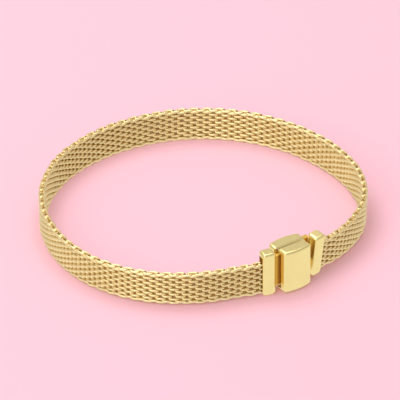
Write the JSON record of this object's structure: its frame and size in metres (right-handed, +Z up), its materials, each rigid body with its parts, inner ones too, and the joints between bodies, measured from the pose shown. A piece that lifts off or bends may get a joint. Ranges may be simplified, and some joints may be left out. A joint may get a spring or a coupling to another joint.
{
  "type": "mesh bracelet",
  "caption": "Woven metal mesh bracelet, a closed loop for the wrist that fastens with a hinged fold-over clasp.",
  "frame": {"origin": "middle of the whole outline, at the height of the surface the bracelet stands on", "axes": "+Z is up and runs through the loop as the wrist does; +X is the loop's longer side; the clasp lies between +X and -Y"},
  "size_m": [0.0644, 0.063, 0.0095],
  "materials": {
    "mesh": "gold-coloured wire, woven and pressed flat",
    "clasp": "polished pale yellow gold-coloured metal",
    "pins": "plain drawn wire"
  },
  "bodies": {
    "bracelet": {"mesh_band": "mesh", "end_cap_left": "clasp", "end_cap_right": "clasp", "clasp_base": "clasp", "hinge_pin": "pins", "link_pin": "pins"},
    "cover": {"clasp_cover": "clasp"}
  },
  "joints": [
    {"name": "cover_hinge", "type": "hinge", "parent": "bracelet", "child": "cover", "pos_m": [0.01955, -0.02314, 0.0048], "axis": [0, 0, 1], "range_deg": [0, 100]}
  ]
}
